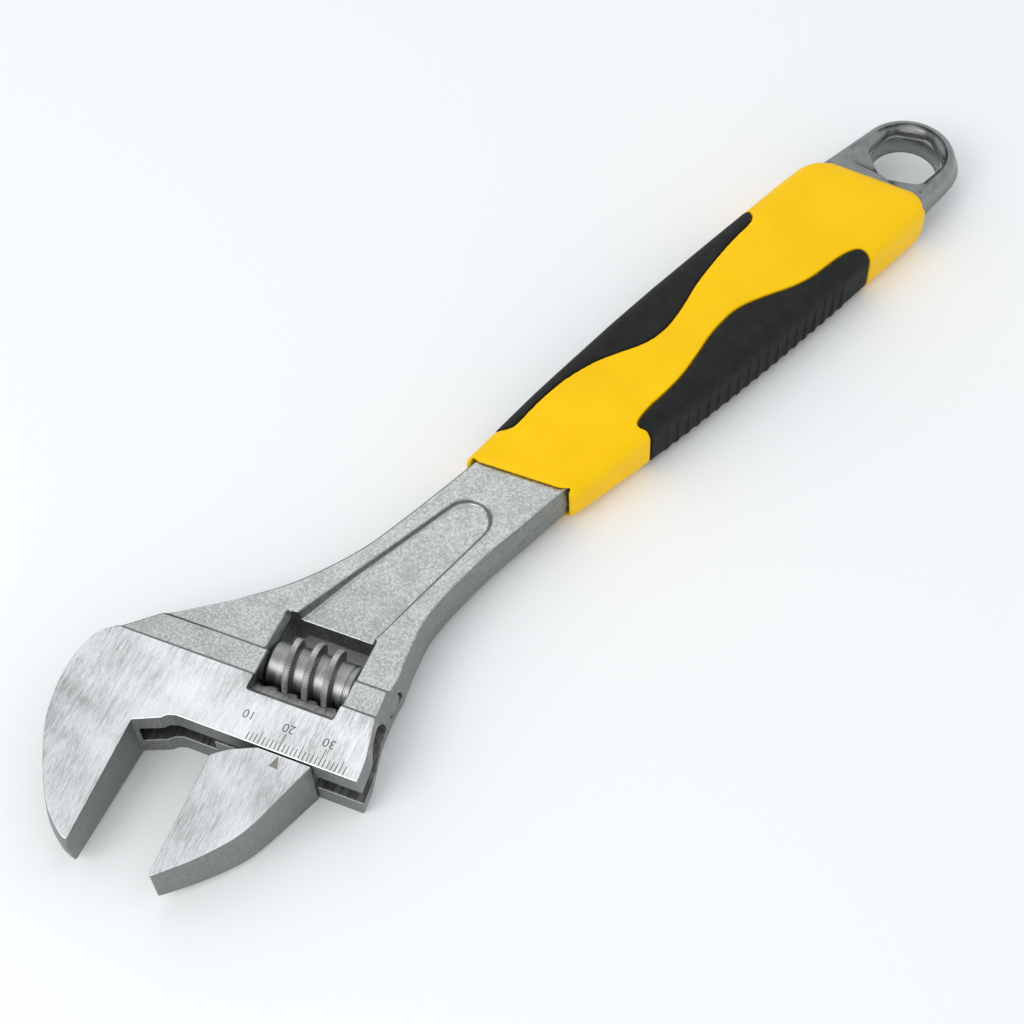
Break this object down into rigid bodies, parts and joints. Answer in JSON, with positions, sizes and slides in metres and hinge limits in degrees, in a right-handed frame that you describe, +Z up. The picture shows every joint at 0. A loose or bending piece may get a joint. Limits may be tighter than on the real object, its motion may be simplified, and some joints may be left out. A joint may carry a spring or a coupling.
{
  "type": "adjustable wrench",
  "caption": "Adjustable wrench with an angled head, a sliding jaw driven by a knurled worm, a hanging ring and a two-colour soft grip.",
  "frame": {"origin": "centre of the tool's bounding box at the surface that it lies on", "axes": "+X along the handle from the jaws to the hanging ring, +Z up out of the head's face; the jaw opens along (0.383, -0.924, 0)"},
  "size_m": [0.3012, 0.0738, 0.0162],
  "materials": {
    "satin_steel": "satin chrome plate over a forged grain, ground head faces",
    "ground_steel": "ground faces with fine scratches",
    "worm_steel": "turned and knurled",
    "pin_steel": "smooth",
    "spring_steel": "drawn wire",
    "yellow_plastic": "semi-matte moulded",
    "black_rubber": "matte moulded, ribbed side"
  },
  "bodies": {
    "wrench_body": {"body": "satin_steel", "worm_pin": "pin_steel", "worm_spring": "spring_steel", "grip_sleeve": "yellow_plastic", "grip_pad_left": "black_rubber", "grip_pad_right": "black_rubber"},
    "sliding_jaw": {"movable_jaw": "ground_steel"},
    "adjusting_worm": {"worm": "worm_steel"}
  },
  "joints": [
    {"name": "jaw_slide", "type": "slide", "parent": "wrench_body", "child": "sliding_jaw", "axis": [0.3827, -0.9239, 0], "range_m": [-0.0203, 0.0154]},
    {"name": "worm_spin", "type": "hinge", "parent": "wrench_body", "child": "adjusting_worm", "pos_m": [-0.0828, -0.00598, 0.0081], "axis": [0.3827, -0.9239, 0], "range_deg": [-1112, 1465]}
  ],
  "couplings": [
    {"joint": "worm_spin", "follows": "jaw_slide", "rad_per_m": -1256.6}
  ]
}
